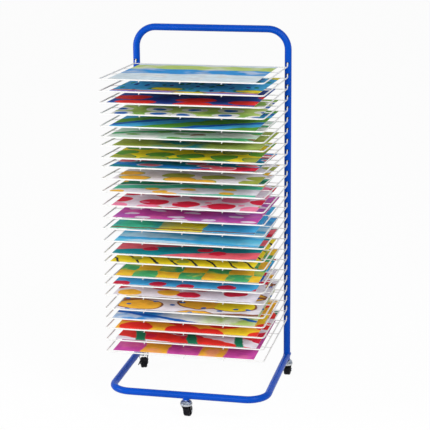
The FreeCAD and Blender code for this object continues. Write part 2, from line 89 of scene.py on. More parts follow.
INNER_WIRE_R = 0.0011
WELD_BITE = 0.0002              # crossing wires overlap by this much
HOOK_FACE_GAP = 0.0004
HOOK_RISE = 0.0055
REAR_CROSS_SETBACK = 0.009
WIRE_END_PROUD = 0.001
BAYS_ACROSS = 4
BAYS_DEEP = 3
HOOK_BEND_R = TUBE_WALL / 2 + HOOK_FACE_GAP + WIRE_R
LONG_DROP = WIRE_R + INNER_WIRE_R - WELD_BITE
CROSS_DROP = LONG_DROP - (2 * INNER_WIRE_R - WELD_BITE)

NUGGET_WIDE = 1.25 * INNER_WIRE_R
NUGGET_HIGH = 1.15 * INNER_WIRE_R
SIDE_NUGGET = 0.7               # length at the side wires, as a share of the others
FRONT_NUGGET_DROP = 0.0003

PLATE_FACE = 0.01               # square metres: only a sheet's plate has a face as large
SHEET_PROUD = 0.0003            # a sheet reaches past its plate by this much all round
SHEET_UNDER = 0.00008           # and lies this much below it
SHEET_CELLS = (57, 49)
WAVE_FADE = 0.04                # the waves die out over this width along the edges
WAVE_SIZE = 0.085
WAVE_CONTRAST = 1.8

# ---- camera and light ------------------------------------------------------------
CAMERA_PLACE = Vector((0.84478, UPRIGHT_Y - 3.80585, 1.49915))
CAMERA_YAW = 0.217
CAMERA_PITCH = 0.259
CAMERA_ROLL = -0.009
CAMERA_LENS_MM = 120.07
CAMERA_SENSOR_MM = 36.0
CAMERA_REACH = 200.0
FLOOR_SIZE = 60.0

# The place of each softbox, and its width and height.
SOFTBOXES = {
    "front": ((-0.3, -4.0, 1.7), (2.4, 1.4)),
    "key": ((2.4, -2.2, 2.9), (1.6, 1.6)),
    "side": ((-2.8, -1.4, 1.1), (1.2, 1.2)),
}

# ---- paints --------------------------------------------------------------------
PAINTS = {
    "paper": "F4F3F1", "lavender": "ECE8F3", "mist": "DDEDF6", "mint": "D3EEDD",
    "cyan": "6CCBE8", "sky": "4FB9EC", "azure": "2F97E0", "cobalt": "2369C0",
    "navy": "24469C", "teal": "16949F", "sea": "55CDAB", "bottle": "1E8460",
    "jade": "4DB277", "leaf": "66A83A", "lime": "C0D878", "olive": "A8B44C",
    "lemon": "F8E330", "amber": "F8BE3E", "orange": "F2953E", "brown": "8E563B",
    "scarlet": "F03830", "crimson": "DF2848", "coral": "F26E7C", "pink": "F68AAE",
    "magenta": "CF52AE", "violet": "9A7AD8", "ink": "262F3E",
}
# Bare steel, made near black as painted shade inside the tubes.
SHADED_BARE_STEEL = (0.020, 0.019, 0.020)
DUST = (0.11, 0.11, 0.12)


class FrameFinish(bpy.types.PropertyGroup):
    paint: bpy.props.FloatVectorProperty(
        name="Paint", description="Powder coat on the tubes", subtype="COLOR",
        size=3, min=0, max=1, default=(0.001, 0.060, 0.42))
    roughness: bpy.props.FloatProperty(
        name="Roughness", description="Roughness of the powder coat", min=0, max=1, default=0.27)
    bead_radius: bpy.props.FloatProperty(
        name="Weld bead", description="Radius of the weld beads", subtype="DISTANCE",
        unit="LENGTH", min=0.0002, max=0.004, default=0.0014)
    plug: bpy.props.FloatVectorProperty(
        name="Plug", description="Moulded plugs in the rear ends", subtype="COLOR",
        size=3, min=0, max=1, default=(0.010, 0.060, 0.30))
    fastener: bpy.props.FloatVectorProperty(
        name="Fasteners", description="Plated joint screws and nuts", subtype="COLOR",
        size=3, min=0, max=1, default=(0.60, 0.61, 0.63))


class WireFinish(bpy.types.PropertyGroup):
    coating: bpy.props.FloatVectorProperty(
        name="Coating", description="Dipped coating on the shelf wires", subtype="COLOR",
        size=3, min=0, max=1, default=(0.72, 0.72, 0.71))
    nugget_length: bpy.props.FloatProperty(
        name="Spot weld", description="Half length of a spot weld along its wire", subtype="DISTANCE",
        unit="LENGTH", min=0.0005, max=0.006, default=0.0017)


class CasterFinish(bpy.types.PropertyGroup):
    zinc: bpy.props.FloatVectorProperty(
        name="Zinc", description="Bright zinc plate", subtype="COLOR",
        size=3, min=0, max=1, default=(0.60, 0.62, 0.65))
    # Darker, bluish zinc of the cups and stems: the plate's own duller tone, with a painted reflection of
    # the blue tube above in its blue tint.
    cup_with_painted_reflection: bpy.props.FloatVectorProperty(
        name="Cup", description="Duller zinc plate of the cups and stems", subtype="COLOR",
        size=3, min=0, max=1, default=(0.36, 0.41, 0.50))
    legs: bpy.props.FloatVectorProperty(
        name="Legs", description="Black coat on the forks' legs", subtype="COLOR",
        size=3, min=0, max=1, default=(0.007, 0.007, 0.009))
    tread: bpy.props.FloatVectorProperty(
        name="Tread", description="Moulded black wheel", subtype="COLOR",
        size=3, min=0, max=1, default=(0.005, 0.005, 0.007))
    pedal: bpy.props.FloatVectorProperty(
        name="Pedal", description="Moulded brake pedal", subtype="COLOR",
        size=3, min=0, max=1, default=(0.010, 0.010, 0.012))


class SheetSizes(bpy.types.PropertyGroup):
    thickness: bpy.props.FloatProperty(
        name="Thickness", description="Thickness of a sheet", subtype="DISTANCE", unit="LENGTH",
        min=0.0002, max=0.001, default=0.00035)
    cockle: bpy.props.FloatProperty(
        name="Cockle", description="Height of the waves that wet paint leaves", subtype="DISTANCE",
        unit="LENGTH", min=0, max=0.006, default=0.0022)


class StageSettings(bpy.types.PropertyGroup):
    floor: bpy.props.FloatVectorProperty(
        name="Floor", description="Floor's colour", subtype="COLOR",
        size=3, min=0, max=1, default=(0.94, 0.94, 0.94))
    whiteness: bpy.props.FloatProperty(
        name="Whiteness", description="How far the floor is seen as plain white", subtype="FACTOR",
        min=0, max=1, default=0.95)
    fill: bpy.props.FloatProperty(
        name="Fill", description="Strength of the even light from all round", min=0, max=2, default=0.40)
    front: bpy.props.FloatProperty(
        name="Front softbox", description="Power of the softbox in front, which lights the sheets",
        subtype="POWER", unit="POWER", min=0, max=1000, default=62)
    key: bpy.props.FloatProperty(
        name="Key softbox", description="Power of the softbox above and to the right", subtype="POWER",
        unit="POWER", min=0, max=1000, default=75)
    side: bpy.props.FloatProperty(
        name="Side softbox", description="Power of the low softbox on the left, which reaches in "
        "between the shelves", subtype="POWER", unit="POWER", min=0, max=1000, default=50)


class RackSettings(bpy.types.PropertyGroup):
    frame: bpy.props.PointerProperty(type=FrameFinish)
    wire: bpy.props.PointerProperty(type=WireFinish)
    caster: bpy.props.PointerProperty(type=CasterFinish)
    sheet: bpy.props.PointerProperty(type=SheetSizes)
    stage: bpy.props.PointerProperty(type=StageSettings)


# ---- material building -----------------------------------------------------------
def linear(name):
    """A paint's colour as linear red, green, blue and alpha."""
    def channel(start):
        value = int(PAINTS[name][start:start + 2], 16) / 255
        return value / 12.92 if value <= 0.04045 else ((value + 0.055) / 1.055) ** 2.4
    return (channel(0), channel(2), channel(4), 1.0)


def opaque(colour):
    return (*colour, 1.0)


class Finish:
    """One material's node tree, with short ways to add to it."""

    def __init__(self, name, roughness, metallic=0.0):
        self.material = bpy.data.materials.new(name)
        self.material.use_nodes = True
        self.nodes = self.material.node_tree.nodes
        self.links = self.material.node_tree.links
        self.shader = self.nodes["Principled BSDF"]
        self.set("Roughness", roughness)
        self.set("Metallic", metallic)

    def set(self, name, value):
        """Gives one of the shader's sockets a value, or what another node puts out."""
        self.feed(self.shader.inputs[name], value)

    def feed(self, socket, value):
        if isinstance(value, bpy.types.NodeSocket):
            self.links.new(value, socket)
        else:
            socket.default_value = value

    def add(self, kind, sockets=None, **settings):
        node = self.nodes.new("ShaderNode" + kind)
        for key, value in settings.items():
            setattr(node, key, value)
        for key, value in (sockets or {}).items():
            self.feed(node.inputs[key], value)
        return node

    def place(self):
        return self.add("TexCoord").outputs["Object"]

    def noise(self, vector, scale, detail=3.0, roughness=0.5):
        sockets = {"Vector": vector, "Scale": scale, "Detail": detail, "Roughness": roughness}
        return self.add("TexNoise", sockets).outputs["Fac"]

    def fade(self, value, low, high, to_low=0.0, to_high=1.0):
        """Goes softly from one value to another as what it reads goes from low to high."""
        sockets = {"Value": value, "From Min": low, "From Max": high, "To Min": to_low, "To Max": to_high}
        return self.add("MapRange", sockets, interpolation_type="SMOOTHSTEP").outputs["Result"]

    def math(self, operation, a, b):
        return self.add("Math", {0: a, 1: b}, operation=operation).outputs[0]

    def mix(self, factor, a, b):
        return self.add("Mix", {0: factor, 6: a, 7: b}, data_type="RGBA").outputs[2]

    def shade(self, colour, factor):
        """The colour, darker or lighter by a factor near 1."""
        grey = self.add("CombineColor", {0: factor, 1: factor, 2: factor}).outputs[0]
        sockets = {0: 1.0, 6: colour, 7: grey}
        return self.add("Mix", sockets, data_type="RGBA", blend_type="MULTIPLY").outputs[2]

    def bump(self, height, distance, strength):
        node = self.add("Bump", {"Height": height, "Distance": distance, "Strength": strength})
        self.set("Normal", node.outputs[0])


def seen_ray(nodes, links):
    """1 for rays that the eye sees straight on, in gloss or through glass, else 0."""
    rays = nodes.new("ShaderNodeLightPath")
    seen = rays.outputs["Is Camera Ray"]
    for output in ("Is Glossy Ray", "Is Transmission Ray"):
        both = nodes.new("ShaderNodeMath")
        both.operation = "MAXIMUM"
        links.new(seen, both.inputs[0])
        links.new(rays.outputs[output], both.inputs[1])
        seen = both.outputs[0]
    return seen


def powder_coat(colour, roughness):
    """Baked powder, with its fine orange peel and a little uneven gloss."""
    finish = Finish("powder_coat", roughness)
    place = finish.place()
    tone = finish.fade(finish.noise(place, 9, detail=4), 0.3, 0.7, 0.93, 1.07)
    finish.set("Base Color", finish.shade(opaque(colour), tone))
    finish.bump(finish.noise(place, 900, detail=2), 0.00006, 0.35)
    wear = finish.noise(place, 60, detail=5)
    finish.set("Roughness", finish.fade(wear, 0.35, 0.75, roughness - 0.06, roughness + 0.10))
    finish.set("IOR", 1.17)
    return finish.material


def tube_inside():
    """Bare mill steel inside the tubes, painted near black as the shade in their hollow."""
    finish = Finish("tube_inside", 0.8)
    tone = finish.fade(finish.noise(finish.place(), 200), 0.3, 0.7, 0.5, 1.0)
    finish.set("Base Color", finish.shade(opaque(SHADED_BARE_STEEL), tone))
    finish.set("Specular IOR Level", 0.1)
    return finish.material


def dipped_wire(colour):
    """A plastic coat that the wires were dipped in, a little thicker here and there."""
    finish = Finish("dipped_wire", 0.38)
    place = finish.place()
    tone = finish.fade(finish.noise(place, 45), 0.3, 0.7, 0.95, 1.03)
    finish.set("Base Color", finish.shade(opaque(colour), tone))
    finish.bump(finish.noise(place, 320, detail=2), 0.0001, 0.3)
    return finish.material


def zinc_plate(name, colour, roughness, patches=0.88):
    """Zinc plate, in patches that go down to a share of the colour."""
    finish = Finish(name, roughness, metallic=1.0)
    place = finish.place()
    spangle = finish.noise(place, 260)
    tone = finish.fade(spangle, 0.3, 0.7, patches, 1.06)
    finish.set("Base Color", finish.shade(opaque(colour), tone))
    wear = finish.noise(place, 120, detail=4)
    finish.set("Roughness", finish.fade(wear, 0.3, 0.7, roughness - 0.06, roughness + 0.12))
    finish.bump(spangle, 0.00005, 0.25)
    return finish.material


def moulded(name, colour, roughness, scuff=0.0):
    """Moulded plastic or rubber, with fine grain and dusty scuffs."""
    finish = Finish(name, roughness)
    place = finish.place()
    marks = finish.fade(finish.noise(place, 170, detail=5, roughness=0.7), 0.56, 0.72, 0.0, scuff)
    finish.set("Base Color", finish.mix(marks, opaque(colour), opaque(DUST)))
    wear = finish.noise(place, 240)
    finish.set("Roughness", finish.fade(wear, 0.3, 0.7, roughness - 0.05, roughness + 0.10))
    finish.set("IOR", 1.18)
    finish.bump(finish.noise(place, 1400, detail=2), 0.00005, 0.4)
    return finish.material


def sheet_back():
    """Bare paper, with its tooth and a little of the paint's damp showing through."""
    finish = Finish("sheet_back", 0.85)
    place = finish.place()
    damp = finish.fade(finish.noise(place, 14), 0.35, 0.7, 1.0, 0.93)
    finish.set("Base Color", finish.shade(linear("paper"), damp))
    finish.bump(finish.noise(place, 1600, detail=2), 0.00004, 0.4)
    return finish.material


# ---- painting ----------------------------------------------------------------------
# A painting is a ground and layers of strokes laid over it. Places on a sheet
# are in decimetres from its left front corner, u to the right and v to the back.
DM = 10                         # decimetres in a metre
WOBBLE = 0.22                   # how far a hand strays from a line
WOBBLE_SCALE = 2.2
SEED_STEP = 7.3                 # keeps each sheet's wobble its own
DAB_EDGE = 0.015                # half the soft edge of a dab, in shares of a cell
LINE_IN, LINE_OUT = 0.025, 0.015    # an outline's reach inside and outside the dab's edge
LINE_EDGE = 0.010
BAND_SPACING = 0.314            # of the wave texture's bands at a scale of 1
BAND_EDGE = 0.03
WASH_EDGE = 0.09
WASH_SPREAD = 0.4               # how far the noise strays from its middle


class Painting(Finish):
    def __init__(self, name, seed, width, depth):
        super().__init__(name, 0.72)
        self.seed = seed
        uv = self.add("UVMap").outputs["UV"]
        sheet = self.add("Mapping", {"Vector": uv, "Scale": (width * DM, depth * DM, 1.0)})
        self.flat = sheet.outputs["Vector"]
        sockets = {"Vector": self.flat, "Scale": WOBBLE_SCALE, "Detail": 3.0, "W": seed * SEED_STEP}
        drift = self.add("TexNoise", sockets, noise_dimensions="4D").outputs["Color"]
        centred = self.vector("SUBTRACT", {0: drift, 1: (0.5, 0.5, 0.5)})
        scaled = self.vector("SCALE", {0: centred, "Scale": WOBBLE})
        self.hand = self.vector("ADD", {0: self.flat, 1: scaled})

    def vector(self, operation, sockets):
        return self.add("VectorMath", sockets, operation=operation).outputs[0]

    def turned(self, turn, scale, shift):
        """The hand-wobbled place, shifted, turned by degrees and scaled."""
        sockets = {"Vector": self.hand, "Location": (shift, shift * 0.7, 0.0),
                   "Rotation": (0.0, 0.0, math.radians(turn)), "Scale": (scale[0], scale[1], 0.0)}
        return self.add("Mapping", sockets).outputs["Vector"]

    def pick(self, value, names):
        """One of the named paints for each step of a value from 0 to 1."""
        ramp = self.add("ValToRGB", {"Fac": value})
        ramp.color_ramp.interpolation = "CONSTANT"
        stops = ramp.color_ramp.elements
        while len(stops) < len(names):
            stops.new(0.5)
        while len(stops) > len(names):
            stops.remove(stops[-1])
        for index, name in enumerate(names):
            stops[index].position = index / len(names)
            stops[index].color = linear(name)
        return ramp.outputs["Color"]

    def finish_paint(self, colour):
        """Brush hairs, pooled pigment and the paper's tooth over the whole sheet."""
        slant = math.radians(7 * self.seed % 40 - 20)
        long_hairs = self.add("Mapping", {"Vector": self.hand, "Scale": (1.2, 26.0, 1.0),
                                          "Rotation": (0.0, 0.0, slant)})
        hairs = self.noise(long_hairs.outputs[0], 3.0, detail=5, roughness=0.65)
        pools = self.noise(self.flat, 3.4)
        tone = self.math("MULTIPLY", self.fade(hairs, 0.25, 0.75, 0.86, 1.10),
                         self.fade(pools, 0.25, 0.75, 0.88, 1.08))
        self.set("Base Color", self.shade(colour, tone))
        tooth = self.noise(self.flat, 160, detail=2)
        height = self.math("ADD", self.math("MULTIPLY", hairs, 0.8), self.math("MULTIPLY", tooth, 0.4))
        self.bump(height, 0.00025, 0.35)
        self.set("Specular IOR Level", 0.1)
        return self.material


def spots(names, across, deep, size, turn=0, shift=0.0, loose=0.8, line=None):
    """Rounded dabs, across by deep decimetres apart, in one or more paints, with or without an outline."""
    def layer(painting, below):
        place = painting.turned(turn, (1 / across, 1 / deep), shift)
        cells = painting.add("TexVoronoi", {"Vector": place, "Scale": 1.0, "Randomness": loose},
                             voronoi_dimensions="2D", feature="F1")
        chosen = painting.add("SeparateColor", {"Color": cells.outputs["Color"]}).outputs[0]
        reach = cells.outputs["Distance"]
        edge = painting.fade(reach, size - DAB_EDGE, size + DAB_EDGE, 1.0, 0.0)
        filled = painting.mix(edge, below, painting.pick(chosen, names))
        if line is None:
            return filled
        low, high = size - LINE_IN, size + LINE_OUT
        inner = painting.fade(reach, low - LINE_EDGE, low + LINE_EDGE)
        outer = painting.fade(reach, high - LINE_EDGE, high + LINE_EDGE, 1.0, 0.0)
        return painting.mix(painting.math("MULTIPLY", inner, outer), filled, linear(line))
    return layer


def bands(name, spacing, share, turn=0, shift=0.0, wave=1.5):
    """Wavy stripes, spacing decimetres apart, that cover a share of the sheet."""
    def layer(painting, below):
        sockets = {"Vector": painting.turned(turn, (1.0, 1.0), shift), "Scale": BAND_SPACING / spacing,
                   "Distortion": wave, "Detail": 0.0, "Detail Scale": 1.0}
        stripes = painting.add("TexWave", sockets,
                               wave_type="BANDS", bands_direction="Y", wave_profile="SIN")
        limit = 1 - share
        edge = painting.fade(stripes.outputs["Fac"], limit - BAND_EDGE, limit + BAND_EDGE)
        return painting.mix(edge, below, linear(name))
    return layer


def wash(name, patch, share, strength):
    """Soft patches, patch decimetres wide, that cover about a share of the sheet."""
    def layer(painting, below):
        place = painting.turned(0, (1 / patch, 1 / patch), painting.seed)
        cloud = painting.noise(place, 1.0, detail=2.0)
        limit = 0.5 + (0.5 - share) * WASH_SPREAD
        edge = painting.fade(cloud, limit - WASH_EDGE, limit + WASH_EDGE, 0.0, strength)
        return painting.mix(edge, below, linear(name))
    return layer


def area(name, low, high, along=0, soft=0.03):
    """A whole part of the sheet, from low to high decimetres along u (0) or v (1)."""
    def layer(painting, below):
        value = painting.add("SeparateXYZ", {0: painting.hand}).outputs[along]
        rise = painting.fade(value, low - soft, low + soft)
        fall = painting.fade(value, high - soft, high + soft, 1.0, 0.0)
        return painting.mix(painting.math("MULTIPLY", rise, fall), below, linear(name))
    return layer


def blocks(name, across, deep, shift):
    """Every other block of a grid, across by deep decimetres."""
    def layer(painting, below):
        place = painting.turned(0, (1 / across, 1 / deep), shift)
        grid = painting.add("TexChecker", {"Vector": place, "Scale": 1.0})
        return painting.mix(grid.outputs["Fac"], below, linear(name))
    return layer


# Each sheet from the top shelf down: its ground, then its layers.
SHEETS = [
    ("mist", [bands("azure", 3.4, 0.30, wave=1.3, shift=-0.1),
              bands("lime", 3.4, 0.11, wave=1.6, shift=-1.0),
              wash("paper", 0.9, 0.35, 0.5)]),
    ("sky", [wash("cobalt", 0.9, 0.35, 0.35),
             spots(["bottle", "navy", "bottle"], 0.30, 0.66, 0.20, turn=24),
             area("violet", 0.0, 0.15, along=1), area("orange", 0.17, 0.27, along=1),
             spots(["lemon"], 2.3, 1.2, 0.20, shift=0.9, line="bottle")]),
    ("navy", [wash("cobalt", 1.1, 0.45, 0.8),
              spots(["scarlet"], 1.45, 0.95, 0.36, turn=12, loose=0.5)]),
    ("lime", [wash("leaf", 1.3, 0.45, 0.6), spots(["paper"], 0.92, 0.86, 0.38, loose=0.3),
              spots(["cobalt"], 0.92, 0.86, 0.20, loose=0.3)]),
    ("sky", [bands("leaf", 1.25, 0.46, turn=-34, wave=1.2),
             bands("cobalt", 1.25, 0.10, turn=-34, shift=0.6)]),
    ("mint", [wash("paper", 0.9, 0.5, 0.9), bands("jade", 1.0, 0.14, turn=-14, wave=2.8),
              spots(["brown", "leaf"], 1.2, 0.62, 0.17, turn=-18)]),
    ("olive", [wash("lime", 1.2, 0.5, 0.8), area("teal", 1.1, 2.3, soft=0.25),
               wash("olive", 0.6, 0.4, 0.8)]),
    ("lemon", [spots(["leaf", "leaf", "olive"], 0.86, 0.80, 0.42, turn=8, loose=0.35, line="bottle")]),
    ("teal", [bands("azure", 1.1, 0.28, turn=12), bands("crimson", 1.9, 0.16, turn=-20, wave=2.6),
              spots(["coral"], 1.4, 0.9, 0.22, line="paper")]),
    ("lavender", [spots(["amber", "olive", "amber"], 1.10, 0.86, 0.38, turn=5, loose=0.55, line="olive")]),
    ("lavender", [bands("sea", 1.15, 0.34, turn=-10, wave=2.4),
                  bands("bottle", 2.3, 0.12, turn=-10, wave=2.4),
                  spots(["amber"], 1.0, 0.8, 0.20, shift=0.5)]),
    ("lavender", [spots(["crimson", "crimson", "pink"], 0.90, 0.84, 0.41, turn=10, loose=0.3, shift=0.2),
                  spots(["olive", "pink"], 0.8, 0.7, 0.12, shift=0.5)]),
    ("magenta", [wash("violet", 1.5, 0.35, 0.4), wash("pink", 0.5, 0.3, 0.35),
                 spots(["lavender"], 0.95, 0.44, 0.22, turn=16)]),
    ("sea", [area("lemon", 1.25, 2.45), area("sky", 2.45, 4.2), wash("azure", 0.8, 0.35, 0.4),
             area("brown", 0.10, 0.19, along=1)]),
    ("cyan", [wash("mist", 1.7, 0.45, 0.8), area("azure", 2.3, 3.6, along=1, soft=0.7),
              bands("sky", 0.7, 0.2, turn=4, wave=1.8)]),
    ("teal", [bands("coral", 1.20, 0.44, turn=-16, wave=1.6), spots(["crimson"], 1.3, 1.1, 0.16)]),
    ("lemon", [bands("ink", 0.44, 0.055, turn=58, wave=0.6), spots(["olive"], 0.9, 0.8, 0.16)]),
    ("amber", [blocks("jade", 0.62, 0.70, 0.3), wash("lemon", 0.5, 0.35, 0.5)]),
    ("sky", [area("cobalt", 1.0, 1.7, along=1), spots(["crimson"], 0.95, 0.80, 0.25, loose=0.25)]),
    ("lavender", [spots(["crimson", "crimson", "amber"], 0.98, 0.74, 0.33, turn=-6, loose=0.5)]),
    ("lavender", [spots(["lemon", "amber"], 1.55, 1.05, 0.40, turn=-12, loose=0.5, line="brown"),
                  bands("brown", 1.35, 0.04, turn=-12, wave=2.6),
                  spots(["cobalt"], 0.62, 0.5, 0.12, turn=40, shift=0.3)]),
    ("paper", [area("azure", 0.0, 1.3, soft=0.3), area("lime", 2.5, 3.9, soft=0.35),
               wash("paper", 0.7, 0.4, 0.7), bands("cobalt", 1.1, 0.05, turn=20, wave=2.4)]),
    ("amber", [wash("lemon", 1.0, 0.45, 0.8), spots(["scarlet"], 1.20, 0.95, 0.38, turn=6, loose=0.45)]),
    ("lavender", [bands("scarlet", 1.1, 0.55, turn=14, wave=2.6),
                  spots(["scarlet", "crimson"], 1.1, 0.8, 0.26),
                  bands("bottle", 1.3, 0.08, turn=72, wave=1.6)]),
    ("magenta", [area("amber", 0.75, 1.45), area("amber", 2.3, 3.0), wash("pink", 0.6, 0.35, 0.4)]),
]


def painted_sheet(index, width, depth):
    ground, layers = SHEETS[index]
    painting = Painting("painting_%02d" % (index + 1), index + 1, width, depth)
    colour = linear(ground)
    for layer in layers:
        colour = layer(painting, colour)
    return painting.finish_paint(colour)


# ---- modelling -------------------------------------------------------------------------
def deselect():
    for thing in bpy.context.selected_objects:
        thing.select_set(False)


def settle(name):
    """Names the active object and puts its place, turn and scale in its mesh."""
    piece = bpy.context.active_object
    piece.name = name
    piece.data.name = name
    bpy.ops.object.transform_apply(location=True, rotation=True, scale=True)
    return piece


def smooth(piece, degrees=40):
    """Smooth shading, apart from edges that turn by more than some degrees."""
    deselect()
    piece.select_set(True)
    bpy.context.view_layer.objects.active = piece
    bpy.ops.object.shade_smooth_by_angle(angle=math.radians(degrees))


def dress(node_names, material):
    """Gives nodes a material in place of their own."""
    for name in node_names:
        slots = NODES[name].data.materials
        slots.clear()
        slots.append(material)


def dress_faces(name, material, wanted):
    """Gives a second material to those faces of a node whose middle is wanted."""
    mesh = NODES[name].data
    mesh.materials.append(material)
    for face in mesh.polygons:
        if wanted(face.center):
            face.material_index = len(mesh.materials) - 1


def shelf_plane(name):
    """What takes a flat shelf, with its elbow at the origin, to its place, and its depth to the front."""
    pivot = PIVOTS[name]
    elbow = Vector((0, pivot.y - HOOK_BEND_R, pivot.z - HOOK_RISE))
    points = [vertex.co for vertex in NODES[name].data.vertices]
    nearest = min(point.y for point in points)
    front = [point.z for point in points if point.y < nearest + WIRE_R]
    axis_height = (min(front) + max(front)) / 2
    run = elbow.y - (nearest + WIRE_R)
    rise = axis_height - elbow.z
    turn = Matrix.Translation(elbow) @ Matrix.Rotation(-math.atan2(rise, run), 4, "X")
    return turn, math.hypot(rise, run)


class RACK_OT_frame(bpy.types.Operator):
    """Paints the tubes and lays the weld beads"""
    bl_idname = "rack.frame"
    bl_label = "Frame"

    def execute(self, context):
        settings = context.scene.drying_rack.frame
        paint = powder_coat(settings.paint, settings.roughness)
        bosses = [caster + "_boss" for caster in CASTERS]
        dress(["upright_hoop", "base_frame"] + STUBS + bosses, paint)
        # The uprights' inside behind the hook slots: bare steel, painted near black as shade.
        dress_faces("upright_hoop", tube_inside(), self.shaded_inside_upright)
        plug = moulded("plug_plastic", settings.plug, 0.45)
        dress([name for name in NODES if name.startswith("end_plug")], plug)
        dress(["joint_screws", "joint_nuts"], zinc_plate("fastener_steel", settings.fastener, 0.32))
        base_low, base_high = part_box("base_frame")
        axis_height = (base_low.z + base_high.z) / 2
        for stub in STUBS:
            low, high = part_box(stub)
            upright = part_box("caster_rear_%s_stem" % stub[len("rear_stub_"):])
            centre = Vector(((low.x + high.x) / 2, (upright[0].y + upright[1].y) / 2, axis_height))
            name = stub.replace("rear_stub", "upright_weld")
            self.bead(name, centre, TUBE_R, 1, paint, settings.bead_radius)
        for caster in CASTERS:
            low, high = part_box(caster + "_boss")
            centre = Vector(((low.x + high.x) / 2, (low.y + high.y) / 2, axis_height))
            radius = settings.bead_radius * BOSS_BEAD
            self.bead(caster + "_boss_weld", centre, BOSS_R, -1, paint, radius)
        return {"FINISHED"}

    def shaded_inside_upright(self, place):
        across = math.hypot(abs(place.x) - HALF_SPACING, place.y - UPRIGHT_Y)
        return across < TUBE_R - TUBE_WALL / 2 and place.z < PIVOTS[SHELVES[0]].z + SLOTS_ABOVE

    def bead(self, name, centre, ring_r, side, paint, radius):
        """A weld bead where an upright tube or boss meets a lying tube, above (1) or below (-1) it."""
        deselect()
        bpy.ops.mesh.primitive_torus_add(
            location=centre, major_radius=ring_r, minor_radius=radius, major_segments=72, minor_segments=10)
        piece = settle(name)
        # Only the front caster's tube lies along X.
        along_x = name.startswith("caster_front")
        for vertex in piece.data.vertices:
            across = vertex.co.y - centre.y if along_x else vertex.co.x - centre.x
            rise = math.sqrt(max(TUBE_R ** 2 - across ** 2, COPE_FLAT ** 2))
            vertex.co.z += side * rise
        smooth(piece)
        piece.data.materials.append(paint)
        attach(piece, "frame")


class RACK_OT_shelves(bpy.types.Operator):
    """Coats the wire shelves and adds their spot welds and rounded wire ends"""
    bl_idname = "rack.shelves"
    bl_label = "Wire shelves"

    def execute(self, context):
        settings = context.scene.drying_rack.wire
        coating = dipped_wire(settings.coating)
        dress(SHELVES, coating)
        flat_set = self.flat_set(settings.nugget_length)
        for name in SHELVES:
            deselect()
            flat_set.select_set(True)
            context.view_layer.objects.active = flat_set
            bpy.ops.object.duplicate()
            context.active_object.matrix_world = shelf_plane(name)[0]
            piece = settle(name + "_spot_welds")
            piece.data.materials.append(coating)
            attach(piece, name)
        bpy.data.objects.remove(flat_set)
        return {"FINISHED"}

    def flat_set(self, half_length):
        """The welds and wire ends of one shelf that lies flat, with its elbow at the origin."""
        low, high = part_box(SHELVES[0])
        half = (high.x - low.x) / 2 - WIRE_R
        depth = shelf_plane(SHELVES[0])[1]
        bay = 2 * half / BAYS_ACROSS
        columns = [-half + bay * column for column in range(1, BAYS_ACROSS)]
        rows = [REAR_CROSS_SETBACK + row * (depth - REAR_CROSS_SETBACK) / BAYS_DEEP
                for row in range(BAYS_DEEP)]
        rear_end = REAR_CROSS_SETBACK - INNER_WIRE_R - WIRE_END_PROUD
        front_end = depth + WIRE_R + WIRE_END_PROUD
        made = []
        for row in rows:
            for x in columns:
                made.append(self.nugget((x, -row, -(LONG_DROP + CROSS_DROP) / 2), half_length))
            for x in (-half + WIRE_R, half - WIRE_R):
                made.append(self.nugget((x, -row, -CROSS_DROP), half_length * SIDE_NUGGET))
        for x in columns:
            made.append(self.nugget((x, -depth, -LONG_DROP / 2 - FRONT_NUGGET_DROP), half_length))
            for end in (rear_end, front_end):
                made.append(self.tip((x, -end, -LONG_DROP)))
        deselect()
        for piece in made:
            piece.select_set(True)
        bpy.context.view_layer.objects.active = made[0]
        bpy.ops.object.join()
        return settle("flat_spot_welds")

    def nugget(self, place, half_length):
        """A spot weld, drawn out along its wire."""
        piece = self.ball(place, 1.0)
        piece.scale = (NUGGET_WIDE, half_length, NUGGET_HIGH)
        return piece

    def tip(self, place):
        """The rounded end of a long wire."""
        return self.ball(place, INNER_WIRE_R)

    def ball(self, place, radius):
        bpy.ops.mesh.primitive_ico_sphere_add(subdivisions=2, radius=radius, location=place)
        piece = bpy.context.active_object
        smooth(piece, 80)
        return piece


class RACK_OT_casters(bpy.types.Operator):
    """Gives the casters their plated, moulded and blackened finishes"""
    bl_idname = "rack.casters"
    bl_label = "Casters"

    def execute(self, context):
        settings = context.scene.drying_rack.caster
        plate = zinc_plate("zinc_plate", settings.zinc, 0.20, patches=0.70)
        # The cups' and stems' zinc is tinted blue as a painted reflection of the blue tube above them.
        cup_with_painted_reflection = zinc_plate("zinc_cup", settings.cup_with_painted_reflection, 0.24, patches=0.35)
        tread = moulded("moulded_wheel", settings.tread, 0.46, scuff=0.3)
        legs = moulded("black_legs", settings.legs, 0.36, scuff=0.15)
        pedal = moulded("pedal_plastic", settings.pedal, 0.50, scuff=0.3)
        for name in NODES:
            if not name.startswith("caster_") or name.endswith("_boss"):
                continue
            if name.endswith("_wheel"):
                dress([name], tread)
            elif name.endswith("_brake_pedal"):
                dress([name], pedal)
            elif name.endswith("_stem"):
                dress([name], cup_with_painted_reflection)
            else:
                dress([name], plate)
            if name.endswith("_fork"):
                dress_faces(name, legs, lambda place: place.z < CROWN_HEIGHT + CROWN_SEAM)
        return {"FINISHED"}


